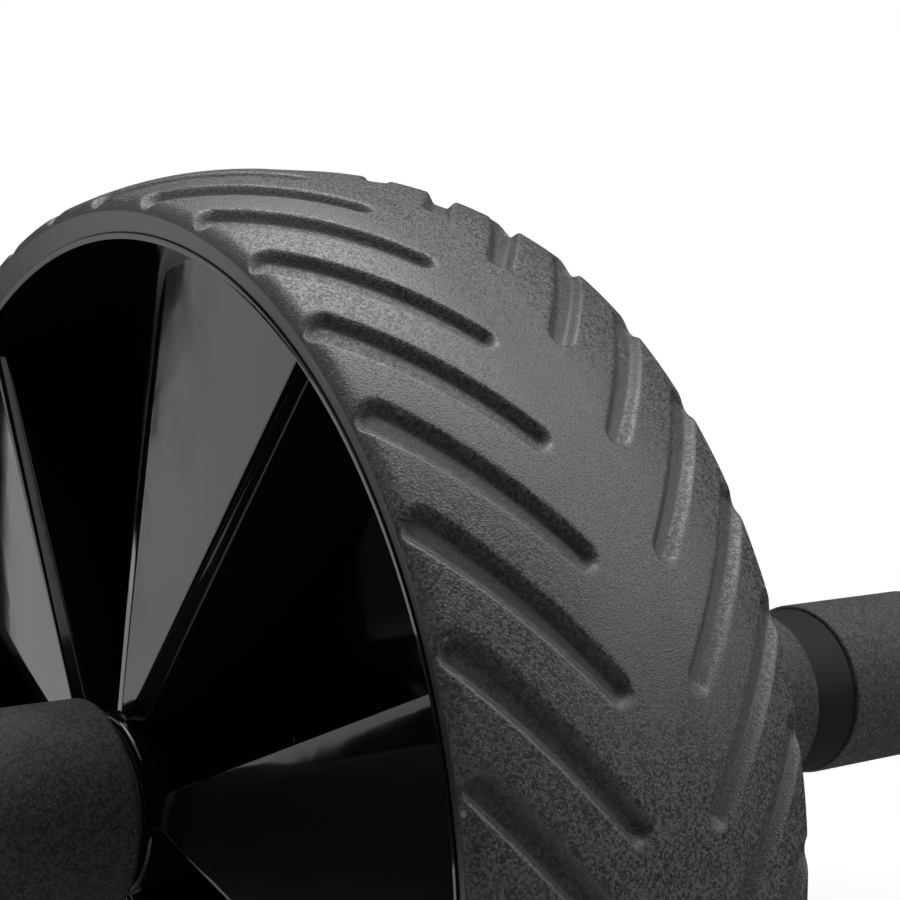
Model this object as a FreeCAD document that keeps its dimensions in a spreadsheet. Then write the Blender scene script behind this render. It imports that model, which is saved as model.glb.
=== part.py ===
# Ab wheel roller: a wide rubber-tyred wheel on a steel axle with a grip at each end.
# Millimetres. The axle lies along Y, +Z is up, and the origin is the middle of the wheel.
# Left is -Y and right is +Y. A station is a distance along the axle from the wheel's middle plane.
import FreeCAD, Part
import math
import os
import re

import Sketcher

SIZES = {
    # tyre
    "tread_radius": 95.0,
    "tyre_width": 55.0,
    "tyre_thickness": 10.0,
    "tread_flat": 4.0,
    "crown_drop": 4.6,
    "shoulder_width": 1.8,
    "shoulder_drop": 2.4,
    "shoulder_round": 3.1,
    "rib_width": 6.0,
    "rib_height": 1.6,
    # slots of the tread
    "groove_count": 36,
    "groove_depth": 1.4,
    "groove_outer_width": 4.8,
    "groove_inner_width": 3.8,
    "groove_outer_turn": 8.65,
    "groove_inner_turn": 9.0,
    "groove_centre_margin": 5.4,
    "groove_edge_margin": 0.8,
    "tread_phase": 4.0,
    # rim halves
    "rim_width": 52.8,
    "lip_proud": 0.3,
    "lip_wall": 1.0,
    "lip_round": 0.4,
    "barrel_wall": 2.2,
    "web": 2.6,
    "hub_length": 58.0,
    "hub_wall": 4.8,
    "hub_round": 1.0,
    "corner_round": 1.5,
    "spoke_count": 5,
    "spoke_phase": 16.2,
    "spoke_root_half": 2.9,
    "spoke_tip_half": 31.0,
    "spoke_root_step": 1.4,
    "spoke_root_low": 0.45,
    "spoke_root_high": 1.35,
    "spoke_tip_low": 16.0,
    "spoke_tip_high": 21.4,
    "facet_root_half": 0.6,
    "facet_low_half": 23.5,
    "facet_high_half": 29.6,
    "facet_tip_low": 17.5,
    "facet_tip_high": 22.9,
    "spoke_draft": 1.0,
    "spoke_wall": 2.2,
    # screws that join the halves
    "screw_circle": 52.0,
    "screw_radius": 2.0,
    "screw_head_radius": 3.6,
    "screw_head_height": 2.3,
    "screw_crown_radius": 2.5,
    "screw_point_radius": 0.8,
    "screw_bite": 12.0,
    "screw_spare": 1.0,
    "post_wall": 2.2,
    "post_floor": 3.2,
    "head_gap": 0.4,
    # axle, bushes and thrust washers
    "axle_radius": 7.0,
    "axle_handle_radius": 6.0,
    "thread_radius": 4.0,
    "thread_chamfer": 0.8,
    "thread_spare": 1.5,
    "bush_wall": 2.0,
    "bush_length": 18.0,
    "flange_width": 2.4,
    "flange_depth": 1.5,
    "flange_proud": 0.4,
    "thrust_radius": 12.5,
    "thrust_thickness": 1.2,
    # handles
    "core_radius": 12.2,
    "core_wall": 2.2,
    "core_inset": 6.0,
    "nut_room": 12.0,
    "grip_radius": 16.2,
    "grip_length": 122.0,
    "grip_inner_round": 1.2,
    "grip_outer_round": 3.0,
    "band_offset": 77.1,
    "band_width": 10.4,
    "band_recess": 0.7,
    "band_thickness": 1.2,
    "cap_dome": 2.1,
    "cap_skirt": 5.0,
    "cap_wall": 1.4,
    "cap_dome_radius": 36.5,
    # axle nuts and their washers
    "nut_flats": 13.0,
    "nut_hex_height": 6.4,
    "nut_collar_height": 1.6,
    "nut_collar_radius": 5.6,
    "washer_radius": 8.0,
    "washer_thickness": 1.6,
    # clearances
    "fit_gap": 0.05,
    "run_gap": 0.05,
    "end_float": 0.3,
    "cut_over": 1.0,
}

# Worked out from the sizes above. Edges, faces, starts and ends are stations; bores are radii.
DERIVED = {
    "tyre_half": "tyre_width / 2",
    "rim_half": "rim_width / 2",
    "bead_half": "rim_half - lip_proud",
    "rib_half": "rib_width / 2",
    "channel_half": "rib_half + fit_gap",
    "tread_edge": "tyre_half - shoulder_width",
    "shoulder_radius": "tread_radius - crown_drop",
    "flank_radius": "shoulder_radius - shoulder_drop",
    "crown_radius": "((tread_edge - tread_flat)^2 + crown_drop^2) / (2 * crown_drop)",
    "floor_radius": "tread_radius - groove_depth",
    "floor_edge_radius": "shoulder_radius - groove_depth",
    "seat_radius": "tread_radius - tyre_thickness",
    "tyre_bore": "seat_radius + fit_gap",
    "channel_radius": "seat_radius - rib_height",
    "rib_bore": "channel_radius + fit_gap",
    # slot: its tips, its direction from the outer tip to the inner one, and its end circles
    "slot_plane": "tread_radius + cut_over",
    "slot_outer_x": "-shoulder_radius * sin(groove_outer_turn)",
    "slot_inner_x": "tread_radius * sin(groove_inner_turn)",
    "slot_outer_y": "tyre_half - groove_edge_margin",
    "slot_inner_y": "groove_centre_margin",
    "slot_run": "sqrt((slot_inner_x - slot_outer_x)^2 + (slot_inner_y - slot_outer_y)^2)",
    "slot_dir_x": "(slot_inner_x - slot_outer_x) / slot_run",
    "slot_dir_y": "(slot_inner_y - slot_outer_y) / slot_run",
    "slot_outer_round": "groove_outer_width / 2",
    "slot_inner_round": "groove_inner_width / 2",
    "slot_upper_outer_x": "slot_outer_x + slot_outer_round * (slot_dir_x - slot_dir_y)",
    "slot_upper_outer_y": "slot_outer_y + slot_outer_round * (slot_dir_y + slot_dir_x)",
    "slot_lower_outer_x": "slot_outer_x + slot_outer_round * (slot_dir_x + slot_dir_y)",
    "slot_lower_outer_y": "slot_outer_y + slot_outer_round * (slot_dir_y - slot_dir_x)",
    "slot_upper_inner_x": "slot_inner_x - slot_inner_round * (slot_dir_x + slot_dir_y)",
    "slot_upper_inner_y": "slot_inner_y - slot_inner_round * (slot_dir_y - slot_dir_x)",
    "slot_lower_inner_x": "slot_inner_x - slot_inner_round * (slot_dir_x - slot_dir_y)",
    "slot_lower_inner_y": "slot_inner_y - slot_inner_round * (slot_dir_y + slot_dir_x)",
    # bushes, hub and thrust washers
    "bush_bore": "axle_radius + run_gap",
    "bush_radius": "bush_bore + bush_wall",
    "flange_radius": "bush_radius + flange_width",
    "hub_bore": "bush_radius + fit_gap",
    "flange_seat_radius": "flange_radius + fit_gap",
    "hub_radius": "hub_bore + hub_wall",
    "hub_face": "hub_length / 2",
    "hub_shoulder": "hub_face - hub_round",
    "hub_edge_radius": "hub_radius - hub_round",
    "flange_back": "hub_face - flange_depth",
    "bush_face": "hub_face + flange_proud",
    "bush_end": "bush_face - bush_length",
    "thrust_inner": "bush_face + end_float",
    "thrust_outer": "thrust_inner + thrust_thickness",
    "thrust_bore": "axle_handle_radius + fit_gap",
    # rim barrel and its rounded corners
    "barrel_radius": "seat_radius - barrel_wall",
    "lip_shoulder": "rim_half - lip_round",
    "lip_radius": "seat_radius - lip_wall",
    "lip_face_radius": "lip_radius + lip_round",
    "blank_radius": "seat_radius + cut_over",
    "web_corner": "web + corner_round",
    "hub_corner_radius": "hub_radius + corner_round",
    "barrel_corner_radius": "barrel_radius - corner_round",
    "trim_radius": "seat_radius + spoke_tip_half / 2",
    "trim_station": "rim_half + cut_over",
    # spoke: outline inside the hub wall and just past the tyre's seat
    "root_plane": "(hub_radius + flange_seat_radius) / 2",
    "tip_plane": "seat_radius + cut_over",
    "root_front": "hub_face - spoke_root_step",
    "root_low": "root_front - spoke_root_low",
    "root_high": "root_front - spoke_root_high",
    "root_base_half": "spoke_root_half + spoke_draft",
    "tip_base_half": "spoke_tip_half + spoke_draft",
    # hollow behind a spoke, a wall's thickness inside it
    "hollow_root_plane": "hub_radius + spoke_wall",
    "hollow_tip_plane": "sqrt((barrel_radius - spoke_wall)^2 - spoke_tip_half^2)",
    "hollow_root_share": "(hollow_root_plane - root_plane) / (tip_plane - root_plane)",
    "hollow_tip_share": "(hollow_tip_plane - root_plane) / (tip_plane - root_plane)",
    "spoke_spread": "spoke_tip_half - spoke_root_half",
    "hollow_root_half": "spoke_root_half + spoke_spread * hollow_root_share - spoke_wall",
    "hollow_tip_half": "spoke_root_half + spoke_spread * hollow_tip_share - spoke_wall",
    "hollow_root_low": "root_high + (spoke_tip_low - root_high) * hollow_root_share - spoke_wall",
    "hollow_root_high": "root_high + (spoke_tip_high - root_high) * hollow_root_share - spoke_wall",
    "hollow_tip_low": "root_high + (spoke_tip_low - root_high) * hollow_tip_share - spoke_wall",
    "hollow_tip_high": "root_high + (spoke_tip_high - root_high) * hollow_tip_share - spoke_wall",
    # screws, each in a pair of posts in the middle of a spoke
    "screw_share": "(screw_circle - root_plane) / (tip_plane - root_plane)",
    "tip_front": "(facet_tip_low + facet_tip_high) / 2",
    "spoke_front": "root_front + (tip_front - root_front) * screw_share",
    "post_top": "spoke_front - spoke_wall / 2",
    "hole_radius": "screw_radius + fit_gap",
    "well_radius": "screw_head_radius + head_gap",
    "pilot_post_radius": "hole_radius + post_wall",
    "well_post_radius": "well_radius + post_wall",
    "pilot_end": "screw_bite + screw_spare",
    "pilot_length": "pilot_end + cut_over",
    "through_length": "post_floor + 2 * cut_over",
    "through_end": "post_floor + cut_over",
    "well_top": "hub_face + cut_over",
    "well_length": "well_top - post_floor",
    "screw_tip_length": "screw_radius",
    "screw_shank": "post_floor + screw_bite - screw_tip_length",
    "screw_rim_height": "screw_head_height / 2",
    # handles, counted outwards from the thrust washer
    "core_start": "thrust_outer",
    "grip_end": "core_start + grip_length",
    "core_end": "grip_end - core_inset",
    "nut_seat": "core_end - nut_room",
    "core_bore": "axle_handle_radius + fit_gap",
    "core_end_bore": "core_radius - core_wall",
    "grip_bore": "core_radius + fit_gap",
    "grip_inner_edge": "core_start + grip_inner_round",
    "grip_inner_radius": "grip_radius - grip_inner_round",
    "grip_outer_edge": "grip_end - grip_outer_round",
    "grip_outer_radius": "grip_radius - grip_outer_round",
    "band_start": "core_start + band_offset",
    "band_end": "band_start + band_width",
    "band_radius": "grip_radius - band_recess",
    "band_floor": "band_radius - band_thickness",
    "band_bore": "band_floor + fit_gap",
    "band_left": "band_start + fit_gap",
    "band_right": "band_end - fit_gap",
    "cap_radius": "grip_bore - fit_gap",
    "cap_face": "grip_end + cap_dome",
    "cap_skirt_start": "core_end - cap_skirt",
    "cap_skirt_radius": "core_end_bore - fit_gap",
    "cap_skirt_bore": "cap_skirt_radius - cap_wall",
    "cap_floor": "core_end + cap_wall",
    # axle ends
    "washer_bore": "thread_radius + fit_gap",
    "washer_outer": "nut_seat + washer_thickness",
    "nut_corner_radius": "nut_flats / sqrt(3)",
    "nut_outer": "washer_outer + nut_hex_height + nut_collar_height",
    "nut_height": "nut_hex_height + nut_collar_height",
    "thread_start": "nut_seat - thread_spare",
    "axle_tip": "nut_outer + thread_spare",
    "axle_tip_edge": "axle_tip - thread_chamfer",
    "axle_tip_radius": "thread_radius - thread_chamfer",
}

# Names of a sketch line's or arc's points, and of the sketch's own origin, in the sketcher.
START, END, SKETCH_ORIGIN = 1, 2, -1

Y_AXIS = FreeCAD.Vector(0, 1, 0)
Z_AXIS = FreeCAD.Vector(0, 0, 1)
SIDES = ("left", "right")

doc = FreeCAD.newDocument("ab_wheel_roller")
sheet = doc.addObject("Spreadsheet::Sheet", "Sizes")
derived = doc.addObject("App::VarSet", "Derived")
nodes = []


def formula(text):
    """A formula of plain words as a document expression."""
    return re.sub(r"[a-z_]+", prefixed, text)


def prefixed(match):
    word = match.group()
    if word in SIZES:
        return "Sizes." + word
    if word in DERIVED:
        return "Derived." + word
    return word


def value(word):
    """The number behind a word, which may carry a minus sign."""
    if word.startswith("-"):
        return -value(word[1:])
    if word == "zero":
        return 0.0
    return float(sheet.get(word) if word in SIZES else getattr(derived, word))


def fill_sheet():
    for row, (name, number) in enumerate(SIZES.items(), 1):
        sheet.set(f"A{row}", name)
        sheet.set(f"B{row}", str(number))
        sheet.setAlias(f"B{row}", name)
    doc.recompute()
    for name, text in DERIVED.items():
        derived.addProperty("App::PropertyFloat", name)
        derived.setExpression(name, formula(text))
    doc.recompute()


def bind(thing, **properties):
    for name, text in properties.items():
        thing.setExpression(name.replace("__", "."), formula(text))


def new_body(label, rotation=None):
    body = doc.addObject("PartDesign::Body", label)
    body.Label = label
    if rotation:
        body.Placement = FreeCAD.Placement(FreeCAD.Vector(), rotation)
    nodes.append(body)
    return body


def origin_feature(body, role):
    return next(item for item in body.Origin.OriginFeatures if item.Role == role)


def side_rotation(side):
    """Right-hand pieces are drawn as they lie; left-hand ones are turned half round about Z."""
    return FreeCAD.Rotation(Z_AXIS, 180 if side == "left" else 0)


def arc_between(first, last, radius):
    """The short arc between two points; a negative radius turns clockwise."""
    chord = last - first
    across = FreeCAD.Vector(-chord.y, chord.x, 0).normalize()
    rise = math.sqrt(max(radius ** 2 - (chord.Length / 2) ** 2, 0))
    centre = (first + last) * 0.5 + across * math.copysign(rise, radius)
    ends = (first, last) if radius > 0 else (last, first)
    angles = [math.atan2(end.y - centre.y, end.x - centre.x) for end in ends]
    circle = Part.Circle(centre, Z_AXIS, abs(radius))
    return Part.ArcOfCircle(circle, angles[0], angles[1])


def outline(body, name, plane, corners, offset=None):
    """A closed sketch. A corner is two words, and a third gives the radius of an arc to the next."""
    sketch = body.newObject("Sketcher::SketchObject", name)
    sketch.AttachmentSupport = (origin_feature(body, plane), [""])
    sketch.MapMode = "FlatFace"
    if offset:
        bind(sketch, AttachmentOffset__Base__z=offset)
    points = [FreeCAD.Vector(value(corner[0]), value(corner[1]), 0) for corner in corners]
    first_ends = []
    last_ends = []
    for index, corner in enumerate(corners):
        here, there = points[index], points[(index + 1) % len(points)]
        radius = value(corner[2]) if len(corner) > 2 else 0
        sketch.addGeometry(arc_between(here, there, radius) if radius else Part.LineSegment(here, there))
        first_ends.append(END if radius < 0 else START)
        last_ends.append(START if radius < 0 else END)
    for index in range(len(corners)):
        after = (index + 1) % len(corners)
        joint = Sketcher.Constraint("Coincident", index, last_ends[index], after, first_ends[after])
        sketch.addConstraint(joint)
    for index, corner in enumerate(corners):
        pin_corner(sketch, index, first_ends[index], points[index], corner)
    return sketch


def pin_corner(sketch, index, end, point, corner):
    for kind, number, word in (("DistanceX", point.x, corner[0]), ("DistanceY", point.y, corner[1])):
        row = sketch.addConstraint(Sketcher.Constraint(kind, SKETCH_ORIGIN, START, index, end, number))
        if word != "zero":
            sketch.setExpression(f"Constraints[{row}]", formula(word))
    if len(corner) > 2:
        radius = corner[2].lstrip("-")
        row = sketch.addConstraint(Sketcher.Constraint("Radius", index, value(radius)))
        sketch.setExpression(f"Constraints[{row}]", formula(radius))


def revolve(body, name, corners, kind="Revolution"):
    """Stations and radii, turned about the axle."""
    sketch = outline(body, name + "_outline", "YZ_Plane", corners)
    turned = body.newObject("PartDesign::" + kind, name)
    turned.Profile = sketch
    turned.ReferenceAxis = (sketch, ["H_Axis"])
    turned.Angle = 360
    return turned


def polar(body, name, originals, count):
    pattern = body.newObject("PartDesign::PolarPattern", name)
    pattern.Originals = originals
    pattern.Axis = (origin_feature(body, "Y_Axis"), [""])
    pattern.Angle = 360
    bind(pattern, Occurrences=count)
    body.Tip = pattern
    return pattern


def mirrored(corners):
    """The corners of the right half, carried round to the left half in one closed run."""
    left = [("-" + corner[0],) + tuple(corner[1:2]) for corner in reversed(corners)]
    return corners + left


def make_tyre():
    """A slotted tread layer, tapered to its edges, on a plain carcass: the slots' floor follows the crown."""
    body = new_body("tyre", FreeCAD.Rotation(Y_AXIS, value("tread_phase")))
    revolve(body, "tread", [
        ("-tyre_half", "flank_radius", "-shoulder_round"),
        ("-tread_edge", "shoulder_radius", "-crown_radius"),
        ("-tread_flat", "tread_radius"),
        ("tread_flat", "tread_radius", "-crown_radius"),
        ("tread_edge", "shoulder_radius", "-shoulder_round"),
        ("tyre_half", "flank_radius"),
        ("tread_edge", "floor_edge_radius", "crown_radius"),
        ("tread_flat", "floor_radius"),
        ("-tread_flat", "floor_radius", "crown_radius"),
        ("-tread_edge", "floor_edge_radius"),
    ])
    slots = [make_slot(body, side) for side in SIDES]
    polar(body, "slots", slots, "groove_count")
    carcass = revolve(body, "carcass", [
        ("tyre_half", "flank_radius"),
        ("bead_half", "tyre_bore"),
        ("rib_half", "tyre_bore"),
        ("rib_half", "rib_bore"),
        ("-rib_half", "rib_bore"),
        ("-rib_half", "tyre_bore"),
        ("-bead_half", "tyre_bore"),
        ("-tyre_half", "flank_radius"),
        ("-tread_edge", "floor_edge_radius", "-crown_radius"),
        ("-tread_flat", "floor_radius"),
        ("tread_flat", "floor_radius", "-crown_radius"),
        ("tread_edge", "floor_edge_radius"),
    ])
    body.Tip = carcass


def make_slot(body, side):
    """One slot with round ends, wider towards the shoulder, drawn above the crown and cut down."""
    sign, turn = ("", "-") if side == "right" else ("-", "")
    corners = [
        ("slot_upper_outer_x", sign + "slot_upper_outer_y"),
        ("slot_upper_inner_x", sign + "slot_upper_inner_y", turn + "slot_inner_round"),
        ("slot_inner_x", sign + "slot_inner_y", turn + "slot_inner_round"),
        ("slot_lower_inner_x", sign + "slot_lower_inner_y"),
        ("slot_lower_outer_x", sign + "slot_lower_outer_y", turn + "slot_outer_round"),
        ("slot_outer_x", sign + "slot_outer_y", turn + "slot_outer_round"),
    ]
    slot = body.newObject("PartDesign::Pocket", "slot_" + side)
    slot.Profile = outline(body, "slot_outline_" + side, "XY_Plane", corners, "slot_plane")
    bind(slot, Length="tread_radius / 2")
    return slot


def make_rim(side):
    """Half a barrel, half a web and half a hub, with hollow wedge spokes standing out from the web."""
    turn = FreeCAD.Rotation(Y_AXIS, value("spoke_phase"))
    body = new_body("rim_" + side, turn.multiply(side_rotation(side)))
    revolve(body, "shell_" + side, [
        ("zero", "hub_bore"),
        ("flange_back", "hub_bore"),
        ("flange_back", "flange_seat_radius"),
        ("hub_face", "flange_seat_radius"),
        ("hub_face", "hub_edge_radius", "hub_round"),
        ("hub_shoulder", "hub_radius"),
        ("web_corner", "hub_radius", "-corner_round"),
        ("web", "hub_corner_radius"),
        ("web", "barrel_corner_radius", "-corner_round"),
        ("web_corner", "barrel_radius"),
        ("lip_shoulder", "lip_radius", "lip_round"),
        ("rim_half", "lip_face_radius"),
        ("rim_half", "blank_radius"),
        ("zero", "blank_radius"),
    ])
    spoke = loft(body, "spoke_" + side, "AdditiveLoft", spoke_sections(body, side))
    hollow = loft(body, "hollow_" + side, "SubtractiveLoft", hollow_sections(body, side))
    polar(body, "spokes_" + side, [spoke, hollow], "spoke_count")
    trim = revolve(body, "trim_" + side, [
        ("-cut_over", "channel_radius"),
        ("channel_half", "channel_radius"),
        ("channel_half", "seat_radius"),
        ("trim_station", "seat_radius"),
        ("trim_station", "trim_radius"),
        ("-cut_over", "trim_radius"),
    ], "Groove")
    body.Tip = trim
    make_screw_holes(body, side)


def spoke_sections(body, side):
    """The spoke across its root and its tip: a tilted facet between two bevels, on drafted walls."""
    root = [
        ("-root_base_half", "zero"),
        ("-spoke_root_half", "root_high"),
        ("-facet_root_half", "root_front"),
        ("facet_root_half", "root_front"),
        ("spoke_root_half", "root_low"),
        ("root_base_half", "zero"),
    ]
    tip = [
        ("-tip_base_half", "zero"),
        ("-spoke_tip_half", "spoke_tip_high"),
        ("-facet_high_half", "facet_tip_high"),
        ("facet_low_half", "facet_tip_low"),
        ("spoke_tip_half", "spoke_tip_low"),
        ("tip_base_half", "zero"),
    ]
    return (outline(body, "spoke_root_" + side, "XY_Plane", root, "root_plane"),
            outline(body, "spoke_tip_" + side, "XY_Plane", tip, "tip_plane"))


def hollow_sections(body, side):
    sections = []
    for end in ("root", "tip"):
        half, low, high = (f"hollow_{end}_{word}" for word in ("half", "low", "high"))
        corners = [("-" + half, "-cut_over"), ("-" + half, high), (half, low), (half, "-cut_over")]
        sections.append(outline(body, f"hollow_{end}_{side}", "XY_Plane", corners, f"hollow_{end}_plane"))
    return sections


def loft(body, name, kind, sections):
    lofted = body.newObject("PartDesign::" + kind, name)
    lofted.Profile = sections[0]
    lofted.Sections = [sections[1]]
    lofted.Ruled = True
    return lofted


def make_screw_holes(body, side):
    """Posts in the hollow spokes: screws lie sunk in the right half's and bite in the left half's."""
    if side == "left":
        shapes = [
            ("post", "AdditiveCylinder", "pilot_post_radius", "post_top", "post_top"),
            ("pilot", "SubtractiveCylinder", "hole_radius", "pilot_end", "pilot_length"),
        ]
    else:
        shapes = [
            ("post", "AdditiveCylinder", "well_post_radius", "post_top", "post_top"),
            ("well", "SubtractiveCylinder", "well_radius", "well_top", "well_length"),
            ("through", "SubtractiveCylinder", "hole_radius", "through_end", "through_length"),
        ]
    for word, kind, radius, top, length in shapes:
        name = f"{word}_{side}"
        cylinder = body.newObject("PartDesign::" + kind, name)
        cylinder.AttachmentSupport = (origin_feature(body, "XZ_Plane"), [""])
        cylinder.MapMode = "FlatFace"
        bind(cylinder, Radius=radius, Height=length,
             AttachmentOffset__Base__y="screw_circle", AttachmentOffset__Base__z="-" + top)
        polar(body, name + "s", [cylinder], "spoke_count")


def along_axle(angle, radius, station):
    """Placement of a Z-long primitive so that it runs along +Y at an angle round the axle."""
    x, z = radius * math.sin(angle), radius * math.cos(angle)
    return FreeCAD.Placement(FreeCAD.Vector(x, station, z), FreeCAD.Rotation(FreeCAD.Vector(1, 0, 0), -90))


def primitive(kind, name, placement, **properties):
    solid = doc.addObject("Part::" + kind, name)
    solid.Placement = placement
    bind(solid, **properties)
    return solid


def make_screw(number):
    """A pan-head screw: head on the floor of the right half's well, point in the left half's post."""
    angle = math.radians(value("spoke_phase")) + 2 * math.pi * number / value("spoke_count")
    circle, seat = value("screw_circle"), value("post_floor")
    shank_start = seat - value("screw_shank")
    tip_start = shank_start - value("screw_tip_length")
    name = f"screw_{number}"
    pieces = [
        primitive("Cylinder", name + "_shank", along_axle(angle, circle, shank_start),
                  Radius="screw_radius", Height="screw_shank"),
        primitive("Cone", name + "_point", along_axle(angle, circle, tip_start),
                  Radius1="screw_point_radius", Radius2="screw_radius", Height="screw_tip_length"),
        primitive("Cylinder", name + "_rim", along_axle(angle, circle, seat),
                  Radius="screw_head_radius", Height="screw_rim_height"),
        primitive("Cone", name + "_crown", along_axle(angle, circle, seat + value("screw_rim_height")),
                  Radius1="screw_head_radius", Radius2="screw_crown_radius", Height="screw_rim_height"),
    ]
    screw = doc.addObject("Part::MultiFuse", name)
    screw.Shapes = pieces
    return screw


def make_screws():
    screws = doc.addObject("Part::Compound", "rim_screws")
    screws.Links = [make_screw(number) for number in range(int(value("spoke_count")))]
    nodes.append(screws)


def make_axle():
    revolve(new_body("axle"), "axle_rod", mirrored([
        ("axle_tip", "zero"),
        ("axle_tip", "axle_tip_radius"),
        ("axle_tip_edge", "thread_radius"),
        ("thread_start", "thread_radius"),
        ("thread_start", "axle_handle_radius"),
        ("thrust_inner", "axle_handle_radius"),
        ("thrust_inner", "axle_radius"),
    ]))


def ring(label, side, start, end, bore, radius):
    corners = [(start, bore), (end, bore), (end, radius), (start, radius)]
    revolve(new_body(f"{label}_{side}", side_rotation(side)), f"{label}_ring_{side}", corners)


def make_bush(side):
    revolve(new_body("bush_" + side, side_rotation(side)), "bush_turned_" + side, [
        ("bush_end", "bush_bore"),
        ("bush_face", "bush_bore"),
        ("bush_face", "flange_radius"),
        ("flange_back", "flange_radius"),
        ("flange_back", "bush_radius"),
        ("bush_end", "bush_radius"),
    ])


def make_handle_core(side):
    revolve(new_body("handle_core_" + side, side_rotation(side)), "core_tube_" + side, [
        ("core_start", "core_bore"),
        ("nut_seat", "core_bore"),
        ("nut_seat", "core_end_bore"),
        ("core_end", "core_end_bore"),
        ("core_end", "core_radius"),
        ("core_start", "core_radius"),
    ])


def make_grip(side):
    """A sleeve with rounded ends and a shallow channel for the band."""
    revolve(new_body("grip_" + side, side_rotation(side)), "grip_sleeve_" + side, [
        ("core_start", "grip_bore"),
        ("grip_end", "grip_bore"),
        ("grip_end", "grip_outer_radius", "grip_outer_round"),
        ("grip_outer_edge", "grip_radius"),
        ("band_end", "grip_radius"),
        ("band_end", "band_floor"),
        ("band_start", "band_floor"),
        ("band_start", "grip_radius"),
        ("grip_inner_edge", "grip_radius", "grip_inner_round"),
        ("core_start", "grip_inner_radius"),
    ])


def make_end_cap(side):
    """A domed plug: its skirt sits in the core's end and its head in the mouth of the grip."""
    revolve(new_body("end_cap_" + side, side_rotation(side)), "cap_plug_" + side, [
        ("cap_floor", "zero"),
        ("cap_face", "zero", "cap_dome_radius"),
        ("grip_end", "cap_radius"),
        ("core_end", "cap_radius"),
        ("core_end", "cap_skirt_radius"),
        ("cap_skirt_start", "cap_skirt_radius"),
        ("cap_skirt_start", "cap_skirt_bore"),
        ("cap_floor", "cap_skirt_bore"),
    ])


def make_lock_nut(side):
    """A hexagon with a round collar, bored for the thread."""
    name = "lock_nut_" + side
    outwards = 1 if side == "right" else -1
    turn = side_rotation(side).multiply(FreeCAD.Rotation(FreeCAD.Vector(1, 0, 0), -90))

    def placed(station):
        return FreeCAD.Placement(Y_AXIS * (outwards * station), turn)

    seat = value("washer_outer")
    hexagon = primitive("Prism", name + "_hexagon", placed(seat),
                        Circumradius="nut_corner_radius", Height="nut_hex_height")
    collar = primitive("Cylinder", name + "_collar", placed(seat),
                       Radius="nut_collar_radius", Height="nut_height")
    bore = primitive("Cylinder", name + "_bore", placed(seat), Radius="washer_bore", Height="nut_height")
    blank = doc.addObject("Part::Fuse", name + "_blank")
    blank.Base, blank.Tool = hexagon, collar
    nut = doc.addObject("Part::Cut", name)
    nut.Base, nut.Tool = blank, bore
    nodes.append(nut)


def make_all():
    fill_sheet()
    make_tyre()
    make_axle()
    for side in SIDES:
        make_rim(side)
        make_bush(side)
        ring("thrust_washer", side, "thrust_inner", "thrust_outer", "thrust_bore", "thrust_radius")
        make_handle_core(side)
        make_grip(side)
        ring("grip_band", side, "band_left", "band_right", "band_bore", "band_radius")
        ring("axle_washer", side, "nut_seat", "washer_outer", "washer_bore", "washer_radius")
        make_lock_nut(side)
        make_end_cap(side)
    make_screws()
    doc.recompute()


def check_all():
    for thing in doc.Objects:
        if "Invalid" in thing.State or "Error" in thing.State:
            raise RuntimeError(f"{thing.Label} did not build: {thing.State}")
    for node in nodes:
        if node.Shape.isNull() or not node.Shape.isValid():
            raise RuntimeError(f"{node.Label} has no sound shape")


def write_parts():
    os.makedirs("parts", exist_ok=True)
    for node in nodes:
        node.Shape.exportStep(f"parts/{node.Label}.step")
        print(f"{node.Label}: {len(node.Shape.Solids)} solids, {node.Shape.Volume / 1000:.2f} cm3")


make_all()
check_all()
write_parts()
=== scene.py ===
"""Ab wheel roller: the finished look of its pieces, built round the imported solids.

Lengths are metres. The axle lies along Y, +Z is up, and the origin is the middle of the wheel.
A station is a distance along the axle. Angles round the axle run from +Z towards +X.
"""

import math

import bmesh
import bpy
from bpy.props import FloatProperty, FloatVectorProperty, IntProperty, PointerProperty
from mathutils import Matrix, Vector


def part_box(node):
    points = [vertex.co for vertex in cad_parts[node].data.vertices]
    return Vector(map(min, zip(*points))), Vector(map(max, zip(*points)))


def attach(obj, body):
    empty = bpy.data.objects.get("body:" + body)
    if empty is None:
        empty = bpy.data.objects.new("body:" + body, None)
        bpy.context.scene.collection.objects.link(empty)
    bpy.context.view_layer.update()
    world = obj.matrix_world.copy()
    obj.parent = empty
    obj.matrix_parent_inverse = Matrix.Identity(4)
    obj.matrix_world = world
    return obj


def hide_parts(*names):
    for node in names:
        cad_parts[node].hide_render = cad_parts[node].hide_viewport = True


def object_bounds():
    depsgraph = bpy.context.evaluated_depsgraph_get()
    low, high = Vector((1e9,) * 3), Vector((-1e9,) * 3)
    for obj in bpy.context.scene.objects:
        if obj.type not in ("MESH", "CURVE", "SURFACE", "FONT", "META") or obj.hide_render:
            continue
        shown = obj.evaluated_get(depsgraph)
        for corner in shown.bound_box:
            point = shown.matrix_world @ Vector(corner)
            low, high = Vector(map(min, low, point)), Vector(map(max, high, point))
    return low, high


bl_info = {
    "name": "Ab Wheel Roller",
    "version": (1, 0, 0),
    "blender": (4, 5, 0),
    "location": "View3D > Sidebar > Roller",
    "description": "Builds the visible pieces of an ab wheel roller and the stage it stands on",
    "category": "Add Mesh",
}

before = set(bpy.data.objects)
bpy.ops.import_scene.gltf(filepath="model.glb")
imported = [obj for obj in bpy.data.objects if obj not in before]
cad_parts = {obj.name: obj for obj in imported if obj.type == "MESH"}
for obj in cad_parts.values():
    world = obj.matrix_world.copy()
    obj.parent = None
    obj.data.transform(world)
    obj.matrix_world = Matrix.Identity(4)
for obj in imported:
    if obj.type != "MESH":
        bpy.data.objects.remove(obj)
CAD_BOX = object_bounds()

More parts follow.
